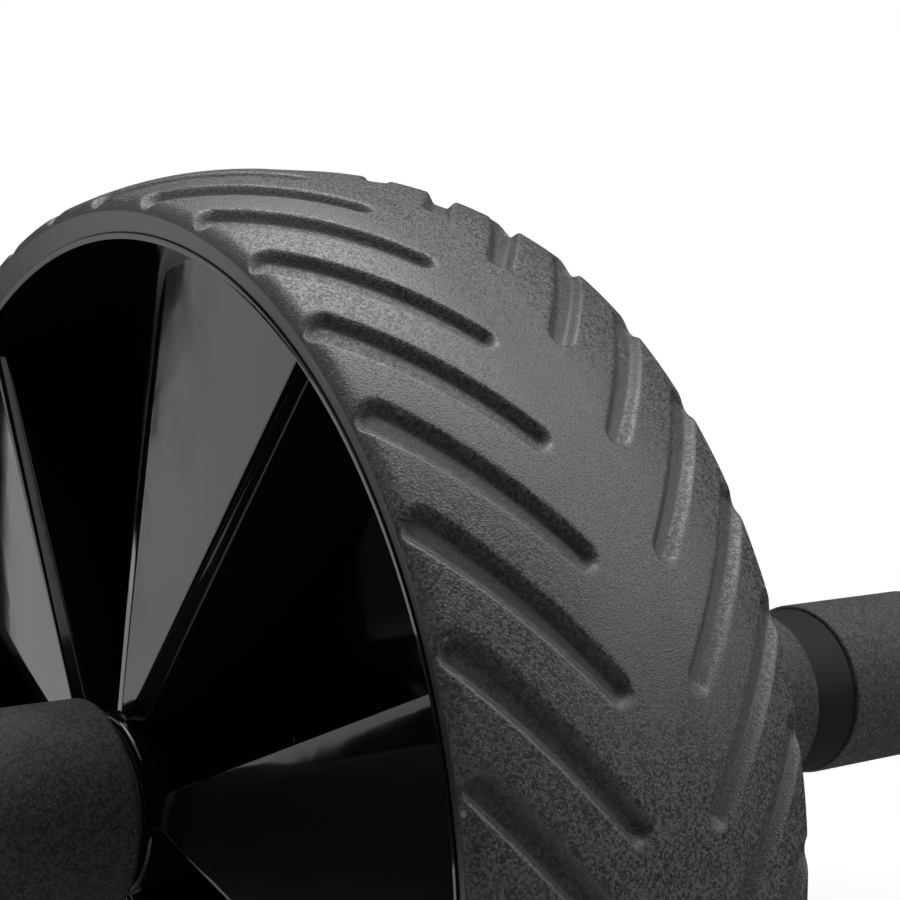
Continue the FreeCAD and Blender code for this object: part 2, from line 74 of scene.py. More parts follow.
MM = 0.001
FULL_TURN = 2 * math.pi
AXLE = Vector((0, 1, 0))
SIDES = ("left", "right")

# Steps round the turned shapes
RIM_SEGMENTS = 200
GRIP_SEGMENTS = 128
WELL_SEGMENTS = 48
# Cuts along a spoke, which follow its twist
SPOKE_CUTS = 15

# Vertices closer than this are merged: on turned pieces, and where the pitches of the tread meet
LATHE_MERGE = 1e-7
PITCH_MERGE = 2e-6

# Rows of half the tread, from its middle outwards
MIDDLE_ROWS, TIP_ROWS, SLOT_ROWS, EDGE_ROWS, SHOULDER_ROWS = 4, 17, 11, 7, 11
# Columns over a slot's wall, as shares of the way from its lip to its floor
WALL_COLUMNS = (-0.3, 0, 0.15, 0.3, 0.5, 0.7, 0.85, 1)
# Share of a slot's wall that each of its two roundings takes
WALL_SOFT = 0.42
# How far under the widest point of the sidewall a vertex still counts as tread
TREAD_MARGIN = 0.035 * MM
# Room between a band and the floor of its channel
BAND_GAP = 0.05 * MM

# Radii between which the plain sidewall, painted darker as painted shade, turns into grained tread
PLAIN_END, GRAIN_START = 87.9 * MM, 88.6 * MM
# Stations between which dust gathers towards the shoulder
DUST_START, DUST_FULL = 12 * MM, 26 * MM

FLOOR_RADIUS = 40
FLOOR_SEGMENTS = 96
# Distances from the middle between which the floor's shadow fades out
SHADOW_START, SHADOW_END = 0.16, 0.34

# Cards that only gloss sees. Each has a tone, two angles in degrees from -X towards -Y, and a bend of
# points, as reach from the middle and height over the floor in metres.
CARD_STEPS = 24
CARD_TONES = {"black": 0, "grey": 0.76, "white": 1}
INNER, OUTER, TOP = (0.17, 0), (1.6, 0), (1.6, 2.7)
CARDS = (
    ("round_card", "black", 42, 330, (INNER, OUTER, TOP)),
    ("edge_card", "black", 330, 358, ((1.6, 0.35), TOP)),
    ("bevel_card", "black", 358, 363.5, (INNER, OUTER, TOP)),
    ("facet_card", "black", 363.5, 372, ((1.6, 0.05), TOP)),
    ("low_card", "black", 372, 381, ((0.95, 0), OUTER, TOP)),
    ("blade_card", "grey", 363.5, 372, ((0.3, 0.002), (1.6, 0.002))),
    ("bounce_card", "white", 70, 102, ((0.1, 0.004), (0.2, 0.004))),
    ("strip_card", "white", 72, 95, ((1.5, 0.7), (1.5, 1.65))),
)

# Lamps, each with its direction from the middle, its width in metres and its power in watts
LAMP_DISTANCE = 1
LAMPS = (
    ("soft_box", (-0.19, 0.08, 0.98), 0.75, 7.6),
    ("high_box", (0.33, 0.43, 0.84), 0.54, 2.7),
    ("side_box", (0.56, 0.68, 0.47), 0.49, 1.9),
)


def length(name, description, millimetres):
    return FloatProperty(name=name, description=description, default=millimetres * MM,
                         precision=5, unit="LENGTH")


def angle(name, description, degrees):
    return FloatProperty(name=name, description=description, default=math.radians(degrees),
                         precision=4, unit="ROTATION")


def colour(name, description, red, green, blue):
    return FloatVectorProperty(name=name, description=description, default=(red, green, blue),
                               min=0, max=1, subtype="COLOR")


class RollerTyre(bpy.types.PropertyGroup):
    tread_radius: length("Tread radius", "Radius at the middle of the tread", 95)
    tread_flat: length("Tread flat", "Half width of the level band in the middle of the tread", 4)
    tread_edge: length("Tread edge", "Station where the crown meets the shoulder", 25.7)
    crown_drop: length("Crown drop", "Fall from the middle of the tread to its edge", 4.6)
    half_width: length("Half width", "Station of the widest point of the sidewall", 27.5)
    flank_radius: length("Flank radius", "Radius of the widest point of the sidewall", 88)
    shoulder_round: length("Shoulder round", "Radius of the shoulder's arc", 3.1)
    bead_half: length("Bead", "Station where the sidewall meets the rim", 26.1)
    bore_radius: length("Bore", "Inner radius, where the tyre sits on the rim", 85.05)
    rib_half: length("Rib half width", "Half width of the rib that keys the tyre to the rim", 3)
    rib_radius: length("Rib radius", "Inner radius of that rib", 83.45)
    slot_count: IntProperty(name="Slots", description="Slots round each side of the tread", default=36)
    slot_depth: length("Slot depth", "Depth of a slot below the crown", 1.5)
    slot_outer: length("Outer tip", "Station of a slot's tip at the shoulder", 26.7)
    slot_inner: length("Inner tip", "Station of a slot's tip near the middle", 5.4)
    slot_outer_width: length("Outer width", "Width of a slot near the shoulder", 4.8)
    slot_inner_width: length("Inner width", "Width of a slot near the middle", 3.8)
    slot_outer_turn: angle("Outer turn", "Angle of a slot's outer tip behind its middle", 7.69)
    slot_inner_turn: angle("Inner turn", "Angle of a slot's inner tip ahead of its middle", 9)
    slot_phase: angle("Slot phase", "Angle of the middle of the first slot", 4)
    slot_lip: length("Slot lip", "How far the rounding of a slot's edge spreads over the tread", 0.35)
    slot_wall: length("Slot wall", "Width of a slot's sloping wall, seen from above", 1.35)


class RollerRim(bpy.types.PropertyGroup):
    seat_radius: length("Seat radius", "Outer radius, under the tyre", 85)
    channel_radius: length("Channel radius", "Radius of the channel for the tyre's rib", 83.4)
    channel_half: length("Channel half width", "Half width of that channel", 3.05)
    barrel_radius: length("Barrel radius", "Inner radius of the barrel at the web", 82.8)
    lip_radius: length("Lip radius", "Inner radius of the barrel at the lip", 84)
    half_width: length("Half width", "Station of the lip", 26.4)
    lip_fall: length("Lip fall", "How much the lip's face falls towards its inner edge", 0.2)
    lip_round: length("Lip round", "Radius of the lip's edges", 0.2)
    web: length("Web", "Thickness of a half's web", 2.6)
    corner_round: length("Corner round", "Radius in the corners of the web", 1.5)
    hub_radius: length("Hub radius", "Outer radius of the hub", 13.9)
    hub_bore: length("Hub bore", "Radius of the seat of the bush", 9.1)
    hub_face: length("Hub face", "Station of the hub's end", 29)
    hub_round: length("Hub round", "Radius of the hub's edge", 1)
    flange_radius: length("Flange radius", "Radius of the recess for the bush's flange", 11.5)
    flange_back: length("Flange back", "Station of the floor of that recess", 27.5)
    spoke_count: IntProperty(name="Spokes", description="Spokes of a rim half", default=5)
    spoke_phase: angle("Spoke phase", "Angle of the first spoke's middle", 16.2)
    spoke_root: length("Spoke root", "Distance of the root section from the axle", 12.7)
    spoke_tip: length("Spoke tip", "Distance of the tip section from the axle", 86)
    root_half: length("Root half width", "Half width of the root section", 2.9)
    root_facet: length("Root facet", "Half width of the facet at the root", 0.6)
    root_front: length("Root front", "Station of the facet at the root", 27.6)
    root_low: length("Root low", "Station of the low edge at the root", 27.15)
    root_high: length("Root high", "Station of the high edge at the root", 26.25)
    tip_half: length("Tip half width", "Half width of the tip section", 31)
    tip_low: length("Tip low", "Station of the low edge at the tip", 16)
    tip_high: length("Tip high", "Station of the high edge at the tip", 21.4)
    facet_low_half: length("Low facet half", "Distance of the facet's low edge at the tip", 23.5)
    facet_high_half: length("High facet half", "Distance of the facet's high edge at the tip", 29.6)
    facet_low: length("Facet low", "Station of the facet's low edge at the tip", 17.5)
    facet_high: length("Facet high", "Station of the facet's high edge at the tip", 22.9)
    draft: length("Draft", "How much wider the spoke is at the web", 1)
    edge_bevel: length("Edge bevel", "Width of the narrow bevel along the low edge at the tip", 2.6)
    edge_fall: length("Edge fall", "How much lower that bevel's outer side lies", 0.55)
    edge_round: length("Edge round", "Radius of the spoke's outer edges at the tip", 0.9)
    low_round: length("Low round", "Radius between the facet and its wide bevel at the tip", 30)
    high_round: length("High round", "Radius between the facet and its steep bevel at the tip", 3.3)
    root_share: FloatProperty(name="Root share", description="Size of these roundings at the root",
                              default=0.15)
    screw_circle: length("Screw circle", "Distance of the screws from the axle", 52)
    well_radius: length("Well radius", "Radius of a screw's well", 4)
    well_floor: length("Well floor", "Station of the floor of a screw's well", 3.2)
    hole_radius: length("Hole radius", "Radius of a screw's hole", 2.05)


class RollerGrip(bpy.types.PropertyGroup):
    radius: length("Grip radius", "Outer radius of the grip", 16.2)
    bore: length("Grip bore", "Inner radius of the grip", 12.25)
    start: length("Start", "Station of the grip's inner end", 30.9)
    end: length("End", "Station of the grip's outer end", 152.9)
    inner_round: length("Inner round", "Radius of the inner end's edge", 1.2)
    outer_round: length("Outer round", "Radius of the outer end's edge", 3)
    band_start: length("Band start", "Station where the band's channel starts", 108)
    band_end: length("Band end", "Station where it ends", 118.4)
    band_radius: length("Band radius", "Outer radius of the band", 15.5)
    band_floor: length("Band floor", "Radius of the floor of its channel", 14.3)
    lip_round: length("Lip round", "Radius of the channel's edges", 0.5)


class RollerFinish(bpy.types.PropertyGroup):
    tyre: colour("Tyre", "Rubber of the tread", 0.07, 0.07, 0.071)
    tyre_dust: colour("Tyre dust", "Pale specks that cling to the tread", 0.32, 0.315, 0.3)
    rim: colour("Rim", "Gloss moulding of the rim halves", 0.005, 0.005, 0.005)
    grip: colour("Grip", "Foam of the grips", 0.045, 0.045, 0.047)
    band: colour("Band", "Bands of the grips", 0.012, 0.012, 0.013)
    cap: colour("Cap", "End caps", 0.03, 0.03, 0.031)
    core: colour("Core", "Cores of the handles", 0.05, 0.05, 0.05)
    nylon: colour("Nylon", "Bushes and thrust washers", 0.7, 0.69, 0.65)
    steel: colour("Steel", "Axle, nuts, washers and screws", 0.55, 0.55, 0.56)


class RollerStage(bpy.types.PropertyGroup):
    camera: FloatVectorProperty(name="Camera", description="Where the camera stands",
                                default=(0.26411, -0.16016, 0.0752), subtype="XYZ", unit="LENGTH")
    azimuth: angle("Azimuth", "Direction of the camera round the object", 53.4925)
    elevation: angle("Elevation", "Direction of the camera over the horizon", 4.3613)
    lens: FloatProperty(name="Lens", description="Focal length", default=79.07, unit="CAMERA")
    sky: FloatProperty(name="Sky", description="Strength of the soft light from all round", default=0.15)
    floor: colour("Floor", "Pale floor", 0.7, 0.7, 0.7)


class RollerSettings(bpy.types.PropertyGroup):
    tyre: PointerProperty(type=RollerTyre)
    rim: PointerProperty(type=RollerRim)
    grip: PointerProperty(type=RollerGrip)
    finish: PointerProperty(type=RollerFinish)
    stage: PointerProperty(type=RollerStage)


# Mesh tools

def spaced(first, last, count):
    """Evenly spaced values, both ends included."""
    return [first + (last - first) * step / (count - 1) for step in range(count)]


def rounded(corners, steps=5):
    """An outline of two-number corners. A corner's third number rounds it by that radius."""
    points = []
    for index, corner in enumerate(corners):
        here = Vector(corner[:2])
        if len(corner) < 3:
            points.append(here)
            continue
        before = (Vector(corners[index - 1][:2]) - here).normalized()
        after = (Vector(corners[(index + 1) % len(corners)][:2]) - here).normalized()
        half = before.angle(after) / 2
        centre = here + (before + after).normalized() * (corner[2] / math.sin(half))
        reach = corner[2] / math.tan(half)
        first, last = here + before * reach - centre, here + after * reach - centre
        points += [centre + first.slerp(last, share) * corner[2] for share in spaced(0, 1, steps)]
    return points


def add_loop(mesh, points):
    """A closed loop of vertices and edges."""
    loop = [mesh.verts.new(point) for point in points]
    return loop, [mesh.edges.new(pair) for pair in zip(loop, loop[1:] + loop[:1])]


def add_outline(mesh, points):
    """A closed loop above the axle, from stations and radii."""
    loop, edges = add_loop(mesh, [(0, station, radius) for station, radius in points])
    return loop + edges


def lathe(points, segments):
    """A bmesh turned about the axle from a closed outline of stations and radii."""
    mesh = bmesh.new()
    bmesh.ops.spin(mesh, geom=add_outline(mesh, points), cent=(0, 0, 0), axis=AXLE, angle=FULL_TURN,
                   steps=segments, use_merge=True)
    bmesh.ops.remove_doubles(mesh, verts=mesh.verts, dist=LATHE_MERGE)
    bmesh.ops.recalc_face_normals(mesh, faces=mesh.faces)
    return mesh


def turned(mesh, turn, axis):
    bmesh.ops.rotate(mesh, verts=mesh.verts, cent=(0, 0, 0), matrix=Matrix.Rotation(turn, 3, axis))
    return mesh


def turned_for(mesh, side):
    """Pieces are drawn for the right-hand side. The left-hand ones are turned half round about Z."""
    return turned(mesh, math.pi, "Z") if side == "left" else mesh


def round_the_axle(mesh, count):
    """The mesh repeated round the axle."""
    first = mesh.verts[:] + mesh.edges[:] + mesh.faces[:]
    for number in range(1, count):
        copy = bmesh.ops.duplicate(mesh, geom=first)["geom"]
        corners = [part for part in copy if isinstance(part, bmesh.types.BMVert)]
        bmesh.ops.rotate(mesh, verts=corners, cent=(0, 0, 0),
                         matrix=Matrix.Rotation(FULL_TURN * number / count, 3, AXLE))
    return mesh


def to_object(mesh, name):
    data = bpy.data.meshes.new(name)
    mesh.to_mesh(data)
    mesh.free()
    thing = bpy.data.objects.new(name, data)
    bpy.context.scene.collection.objects.link(thing)
    return thing


def apply_modifiers(thing):
    graph = bpy.context.evaluated_depsgraph_get()
    shaped = bpy.data.meshes.new_from_object(thing.evaluated_get(graph))
    thing.modifiers.clear()
    old, thing.data = thing.data, shaped
    bpy.data.meshes.remove(old)
    shaped.name = thing.name


def combine(thing, operation, mesh):
    """Joins a mesh to a piece, or cuts it away, by a Boolean that is applied at once."""
    tool = to_object(mesh, "tool")
    step = thing.modifiers.new(operation, "BOOLEAN")
    step.operation, step.solver, step.object = operation, "EXACT", tool
    apply_modifiers(thing)
    bpy.data.meshes.remove(tool.data)


def smooth_faces(thing, crease=35):
    """Shades smooth between edges under the crease angle, with large faces kept flat."""
    thing.data.shade_smooth()
    thing.data.set_sharp_from_angle(angle=math.radians(crease))
    weighted = thing.modifiers.new("weighted_normals", "WEIGHTED_NORMAL")
    weighted.keep_sharp = True
    apply_modifiers(thing)
    return thing


def place(thing, body, slot, material, *nodes):
    """Dresses a finished piece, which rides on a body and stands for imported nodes."""
    thing.data.materials.clear()
    thing.data.materials.append(material)
    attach(thing, body)
    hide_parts(*nodes)


def dress(node, material):
    """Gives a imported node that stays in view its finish."""
    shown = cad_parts[node]
    shown.data.materials.clear()
    shown.data.materials.append(material)


# Tyre

def crown_radius(tyre, station):
    """Radius of the crown: level in the middle, then an arc down to the shoulder."""
    run = tyre.tread_edge - tyre.tread_flat
    arc = (run ** 2 + tyre.crown_drop ** 2) / (2 * tyre.crown_drop)
    away = min(max(abs(station) - tyre.tread_flat, 0), run)
    return tyre.tread_radius - arc + math.sqrt(arc ** 2 - away ** 2)


class SlotOutline:
    """A slot laid flat: distance round the tread against station, with a round at each end."""

    def __init__(self, tyre):
        edge_radius = crown_radius(tyre, tyre.slot_outer)
        outer = Vector((-edge_radius * tyre.slot_outer_turn, tyre.slot_outer))
        inner = Vector((tyre.tread_radius * tyre.slot_inner_turn, tyre.slot_inner))
        self.along = (inner - outer).normalized()
        self.square = abs(self.along.y)
        self.tip = outer
        self.start_half, self.end_half = tyre.slot_outer_width / 2, tyre.slot_inner_width / 2
        self.start = outer + self.along * self.start_half
        self.run = (inner - outer).length - self.start_half - self.end_half
        self.end = self.start + self.along * self.run

    def middle(self, station):
        """Distance round the tread of the slot's middle line at a station."""
        return self.tip.x + self.along.x * (station - self.tip.y) / self.along.y

    def half_width(self, station):
        share = (station - self.start.y) / (self.along.y * self.run)
        share = min(max(share, 0), 1)
        return self.start_half + (self.end_half - self.start_half) * share

    def inset(self, point):
        """How far a point lies inside the outline. Below zero it lies outside."""
        reach = min(max((point - self.start).dot(self.along), 0), self.run)
        half = self.start_half + (self.end_half - self.start_half) * reach / self.run
        return half - (point - self.start - self.along * reach).length


def land_and_floor(tyre, station):
    """Radii of the tread and of its slots' floor: the floor meets the land where the sidewall starts."""
    crown = crown_radius(tyre, station)
    past = abs(station) - tyre.tread_edge
    if past <= 0:
        return crown, crown - tyre.slot_depth
    width = tyre.half_width - tyre.tread_edge
    drop = crown - tyre.flank_radius
    chord = math.hypot(width, drop) / 2
    rise = math.sqrt(tyre.shoulder_round ** 2 - chord ** 2) / (2 * chord)
    centre = Vector((width / 2 - drop * rise, crown - drop / 2 - width * rise))
    land = centre.y + math.sqrt(max(tyre.shoulder_round ** 2 - (past - centre.x) ** 2, 0))
    floor = crown - tyre.slot_depth - (drop - tyre.slot_depth) * past / width
    return land, min(land, floor)


def tread_stations(tyre):
    """Stations of half the tread's rows, closest together round the slots' tips and on the shoulder."""
    outline = SlotOutline(tyre)
    reach = outline.end_half + tyre.slot_lip
    width = tyre.half_width - tyre.tread_edge
    rows = spaced(0, outline.end.y - reach, MIDDLE_ROWS)
    rows += spaced(outline.end.y - reach, outline.end.y + reach, TIP_ROWS)[1:]
    rows += spaced(outline.end.y + reach, tyre.tread_edge - width, SLOT_ROWS)[1:]
    rows += spaced(tyre.tread_edge - width, tyre.tread_edge, EDGE_ROWS)[1:]
    turns = spaced(0, math.pi / 2, SHOULDER_ROWS)[1:]
    return rows + [tyre.tread_edge + width * math.sin(turn) for turn in turns]


def tyre_outline(tyre):
    """The tyre's section: the tread from side to side, then the sidewalls and the ribbed bore."""
    half = tread_stations(tyre)
    stations = [-row for row in half[:0:-1]] + half
    tread = [(station, land_and_floor(tyre, station)[0]) for station in stations]
    right = [
        (tyre.bead_half, tyre.bore_radius),
        (tyre.rib_half, tyre.bore_radius),
        (tyre.rib_half, tyre.rib_radius),
    ]
    return tread + right + [(-station, radius) for station, radius in reversed(right)]


def wall_profile(share):
    """Depth across a slot's wall, from the land at 0 to the floor at 1, with a short round at each end."""
    share = min(max(share, 0.0), 1.0)
    if share > 0.5:
        return 1 - wall_profile(1 - share)
    slope = 1 / (1 - WALL_SOFT)
    if share < WALL_SOFT:
        return slope * share ** 2 / (2 * WALL_SOFT)
    return slope * (share - WALL_SOFT / 2)


def slot_columns(tyre, outline, station):
    """Angles of one pitch's columns from the slot's middle line, closest together over its walls."""
    pitch = FULL_TURN / tyre.slot_count
    half = outline.half_width(station)
    spread = tyre.slot_lip + tyre.slot_wall
    insets = [share * spread - tyre.slot_lip for share in WALL_COLUMNS]
    insets += spaced(insets[-1], half, 4)[1:-1]
    scale = outline.square * crown_radius(tyre, station)
    sides = [(half - inset) / scale for inset in insets]
    outer = [-away for away in spaced(pitch / 2, sides[0], 3)[:-1]] + [-away for away in sides]
    return outer + [0] + [-away for away in reversed(outer)]


def shape_pitch(mesh, tyre):
    """Slants one pitch of the tyre along its slot, crowds its columns to the walls and sinks the slot."""
    outline = SlotOutline(tyre)
    depth_layer = mesh.verts.layers.float.new("slot")
    pitch = FULL_TURN / tyre.slot_count
    for corner in mesh.verts:
        x, station, z = corner.co
        radius, turn = math.hypot(x, z), math.atan2(x, z)
        on_tread = radius > tyre.flank_radius - TREAD_MARGIN
        row = abs(station) if on_tread else tyre.half_width
        columns = slot_columns(tyre, outline, row)
        middle = outline.middle(row) / crown_radius(tyre, row)
        turn = middle + columns[round(turn / pitch * (len(columns) - 1))]
        if on_tread:
            at = Vector((turn * crown_radius(tyre, row), row))
            share = wall_profile((outline.inset(at) + tyre.slot_lip) / (tyre.slot_lip + tyre.slot_wall))
            land, floor = land_and_floor(tyre, row)
            corner[depth_layer] = share * (land - floor) / tyre.slot_depth
            radius -= share * (land - floor)
        turn += tyre.slot_phase
        corner.co = (radius * math.sin(turn), station, radius * math.cos(turn))


def build_tyre(tyre):
    mesh = bmesh.new()
    steps = len(slot_columns(tyre, SlotOutline(tyre), tyre.slot_inner)) - 1
    bmesh.ops.spin(mesh, geom=add_outline(mesh, tyre_outline(tyre)), cent=(0, 0, 0), axis=AXLE,
                   angle=FULL_TURN / tyre.slot_count, steps=steps)
    shape_pitch(mesh, tyre)
    round_the_axle(mesh, tyre.slot_count)
    bmesh.ops.remove_doubles(mesh, verts=mesh.verts, dist=PITCH_MERGE)
    bmesh.ops.recalc_face_normals(mesh, faces=mesh.faces)
    return to_object(mesh, "tread_tyre")


# Rim

def rim_shell(rim):
    return lathe(rounded([
        (0, rim.hub_bore),
        (rim.flange_back, rim.hub_bore),
        (rim.flange_back, rim.flange_radius),
        (rim.hub_face, rim.flange_radius),
        (rim.hub_face, rim.hub_radius, rim.hub_round),
        (rim.web, rim.hub_radius, rim.corner_round),
        (rim.web, rim.barrel_radius, rim.corner_round),
        (rim.half_width - rim.lip_fall, rim.lip_radius, rim.lip_round),
        (rim.half_width, rim.seat_radius, rim.lip_round),
        (rim.channel_half, rim.seat_radius),
        (rim.channel_half, rim.channel_radius),
        (0, rim.channel_radius),
    ]), RIM_SEGMENTS)


def rim_trim(rim):
    """What the spokes' tips lose where they pass the tyre's seat."""
    return lathe([
        (-rim.web, rim.channel_radius),
        (rim.channel_half, rim.channel_radius),
        (rim.channel_half, rim.seat_radius),
        (2 * rim.half_width, rim.seat_radius),
        (2 * rim.half_width, rim.seat_radius + rim.tip_half),
        (-rim.web, rim.seat_radius + rim.tip_half),
    ], RIM_SEGMENTS)


def screw_well(rim):
    """A stepped hole: a wide well down to its floor, then a narrow hole through the web."""
    mesh = lathe([
        (-rim.web, 0),
        (-rim.web, rim.hole_radius),
        (rim.well_floor, rim.hole_radius),
        (rim.well_floor, rim.well_radius),
        (rim.hub_face, rim.well_radius),
        (rim.hub_face, 0),
    ], WELL_SEGMENTS)
    bmesh.ops.translate(mesh, verts=mesh.verts, vec=(0, 0, rim.screw_circle))
    return mesh


def spoke(rim):
    """A twisted wedge: a tilted facet between two bevels, on drafted walls, with rounded edges."""
    small = rim.root_share
    root = [
        (-rim.root_half - rim.draft, 0),
        (-rim.root_half, rim.root_high, rim.edge_round / 2),
        (-rim.root_facet, rim.root_front, rim.high_round / 2),
        (rim.root_facet, rim.root_front, rim.low_round * small),
        (rim.root_half - rim.edge_bevel * small, rim.root_low),
        (rim.root_half, rim.root_low - rim.edge_fall * small, rim.edge_round / 4),
        (rim.root_half + rim.draft, 0),
    ]
    bevel_share = rim.edge_bevel / (rim.tip_half - rim.facet_low_half)
    bevel_station = rim.tip_low + (rim.facet_low - rim.tip_low) * bevel_share
    tip = [
        (-rim.tip_half - rim.draft, 0),
        (-rim.tip_half, rim.tip_high, rim.edge_round),
        (-rim.facet_high_half, rim.facet_high, rim.high_round),
        (rim.facet_low_half, rim.facet_low, rim.low_round),
        (rim.tip_half - rim.edge_bevel, bevel_station),
        (rim.tip_half, rim.tip_low - rim.edge_fall, rim.edge_round / 2),
        (rim.tip_half + rim.draft, 0),
    ]
    mesh = bmesh.new()
    ends = []
    for section, height in ((root, rim.spoke_root), (tip, rim.spoke_tip)):
        corners = rounded(section, steps=7)
        ends.append(add_loop(mesh, [(across, station, height) for across, station in corners])[1])
    runs = bmesh.ops.bridge_loops(mesh, edges=ends[0] + ends[1])["edges"]
    for end in ends:
        bmesh.ops.contextual_create(mesh, geom=end)
    bmesh.ops.subdivide_edges(mesh, edges=runs, cuts=SPOKE_CUTS, use_grid_fill=True)
    bmesh.ops.recalc_face_normals(mesh, faces=mesh.faces)
    return mesh


def build_rim(rim, side):
    """One half: the turned shell with its spokes joined on, cut back to the tyre's seat."""
    half = to_object(rim_shell(rim), f"gloss_rim_{side}")
    combine(half, "UNION", round_the_axle(spoke(rim), rim.spoke_count))
    combine(half, "DIFFERENCE", rim_trim(rim))
    if side == "right":
        combine(half, "DIFFERENCE", round_the_axle(screw_well(rim), rim.spoke_count))
    mesh = bmesh.new()
    mesh.from_mesh(half.data)
    turned(turned_for(mesh, side), rim.spoke_phase, AXLE).to_mesh(half.data)
    mesh.free()
    return smooth_faces(half)


# Grips and bands

def build_grip(grip, side):
    points = rounded([
        (grip.start, grip.bore),
        (grip.end, grip.bore),
        (grip.end, grip.radius, grip.outer_round),
        (grip.band_end, grip.radius, grip.lip_round),
        (grip.band_end, grip.band_floor),
        (grip.band_start, grip.band_floor),
        (grip.band_start, grip.radius, grip.lip_round),
        (grip.start, grip.radius, grip.inner_round),
    ], steps=7)
    return smooth_faces(to_object(turned_for(lathe(points, GRIP_SEGMENTS), side), f"foam_grip_{side}"))


def build_band(grip, side):
    low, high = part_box(f"grip_band_{side}")
    start, end = sorted((abs(low.y), abs(high.y)))
    bore = grip.band_floor + BAND_GAP
    points = rounded([
        (start, bore),
        (end, bore),
        (end, grip.band_radius, grip.lip_round),
        (start, grip.band_radius, grip.lip_round),
    ], steps=6)
    return smooth_faces(to_object(turned_for(lathe(points, GRIP_SEGMENTS), side), f"smooth_band_{side}"))


# Materials

def put(tree, kind, inputs=None, **choices):
    """Adds a node, with values or links for its inputs by name or number."""
    node = tree.nodes.new(kind)
    for name, choice in choices.items():
        setattr(node, name, choice)
    for key, given in (inputs or {}).items():
        if isinstance(given, bpy.types.NodeSocket):
            tree.links.new(given, node.inputs[key])
        else:
            node.inputs[key].default_value = given
    return node


def sums(tree, operation, *values):
    return put(tree, "ShaderNodeMath", dict(enumerate(values)), operation=operation).outputs[0]


def between(tree, value, low, high, start=0.0, end=1.0):
    """Maps low..high to start..end with soft ends."""
    inputs = {"Value": value, "From Min": low, "From Max": high, "To Min": start, "To Max": end}
    return put(tree, "ShaderNodeMapRange", inputs, interpolation_type="SMOOTHSTEP").outputs["Result"]


def blended(tree, factor, first, second):
    return put(tree, "ShaderNodeMix", {0: factor, 6: first, 7: second}, data_type="RGBA").outputs[2]


def node_group(name, inputs, outputs):
    tree = bpy.data.node_groups.new(name, "ShaderNodeTree")
    for word, kind in inputs.items():
        tree.interface.new_socket(word, in_out="INPUT", socket_type="NodeSocket" + kind)
    for word in outputs:
        tree.interface.new_socket(word, in_out="OUTPUT", socket_type="NodeSocketFloat")
    return tree, put(tree, "NodeGroupInput").outputs, put(tree, "NodeGroupOutput").inputs


def grain_group():
    """Fine sandy grain: a height for a bump and a tone that drifts with it."""
    tree, given, made = node_group("sandy_grain", {"Vector": "Vector", "Scale": "Float"}, ["Height", "Tone"])
    fine = put(tree, "ShaderNodeTexNoise", {"Vector": given["Vector"], "Scale": given["Scale"],
                                            "Detail": 3.0, "Roughness": 0.65}).outputs[0]
    grit = put(tree, "ShaderNodeTexVoronoi", {"Vector": given["Vector"], "Scale": given["Scale"]})
    chance = put(tree, "ShaderNodeSeparateColor", {0: grit.outputs["Color"]}).outputs[0]
    peaks = sums(tree, "MULTIPLY", chance, between(tree, grit.outputs["Distance"], 0.05, 0.6, 1.0, 0.0))
    height = sums(tree, "ADD", sums(tree, "MULTIPLY", fine, 0.4), sums(tree, "MULTIPLY", peaks, 0.6))
    tree.links.new(height, made["Height"])
    tree.links.new(between(tree, sums(tree, "ADD", sums(tree, "MULTIPLY", fine, 0.5), chance), 0.2, 1.3),
                   made["Tone"])
    return tree


def speck_group():
    """Scattered round specks, a given share of the cells holding one."""
    tree, given, made = node_group("dust_specks", {"Vector": "Vector", "Scale": "Float", "Share": "Float"},
                                   ["Mask"])
    cells = put(tree, "ShaderNodeTexVoronoi", {"Vector": given["Vector"], "Scale": given["Scale"]})
    chance = put(tree, "ShaderNodeSeparateColor", {0: cells.outputs["Color"]}).outputs[0]
    chosen = sums(tree, "LESS_THAN", chance, given["Share"])
    near = between(tree, cells.outputs["Distance"], 0.16, 0.34, 1.0, 0.0)
    tree.links.new(sums(tree, "MULTIPLY", chosen, near), made["Mask"])
    return tree


def cloud_group():
    """Broad soft patches, for smears, handling marks and uneven gloss."""
    tree, given, made = node_group("soft_patches", {"Vector": "Vector", "Scale": "Float"}, ["Mask", "Height"])
    broad = put(tree, "ShaderNodeTexNoise", {"Vector": given["Vector"], "Scale": given["Scale"],
                                             "Detail": 2.0, "Distortion": 0.4}).outputs[0]
    tree.links.new(between(tree, broad, 0.38, 0.66), made["Mask"])
    tree.links.new(broad, made["Height"])
    return tree


EFFECTS = {"sandy_grain": grain_group, "dust_specks": speck_group, "soft_patches": cloud_group}


def effect(tree, name, **inputs):
    """Places a shared effect in a material, with its own values."""
    group = bpy.data.node_groups.get(name) or EFFECTS[name]()
    node = put(tree, "ShaderNodeGroup", node_tree=group)
    inputs.setdefault("Vector", put(tree, "ShaderNodeTexCoord").outputs["Object"])
    join(tree, node, **inputs)
    return node.outputs


def join(tree, node, **inputs):
    """Sets or links a node's inputs, with _ for a space in a name."""
    for word, given in inputs.items():
        socket = node.inputs[word.replace("_", " ")]
        if isinstance(given, bpy.types.NodeSocket):
            tree.links.new(given, socket)
        else:
            socket.default_value = given


def new_finish(name):
    material = bpy.data.materials.new(name)
    material.use_nodes = True
    tree = material.node_tree
    tree.nodes.clear()
    surface = put(tree, "ShaderNodeBsdfPrincipled")
    put(tree, "ShaderNodeOutputMaterial", {"Surface": surface.outputs[0]})
    return material, tree, surface


def bump(tree, height, strength, distance):
    inputs = {"Height": height, "Strength": strength, "Distance": distance}
    return put(tree, "ShaderNodeBump", inputs).outputs[0]


def shade(base, share):
    """A colour made lighter or darker by a share, for the two ends of a blend."""
    return (*(min(part * share, 1) for part in base), 1)


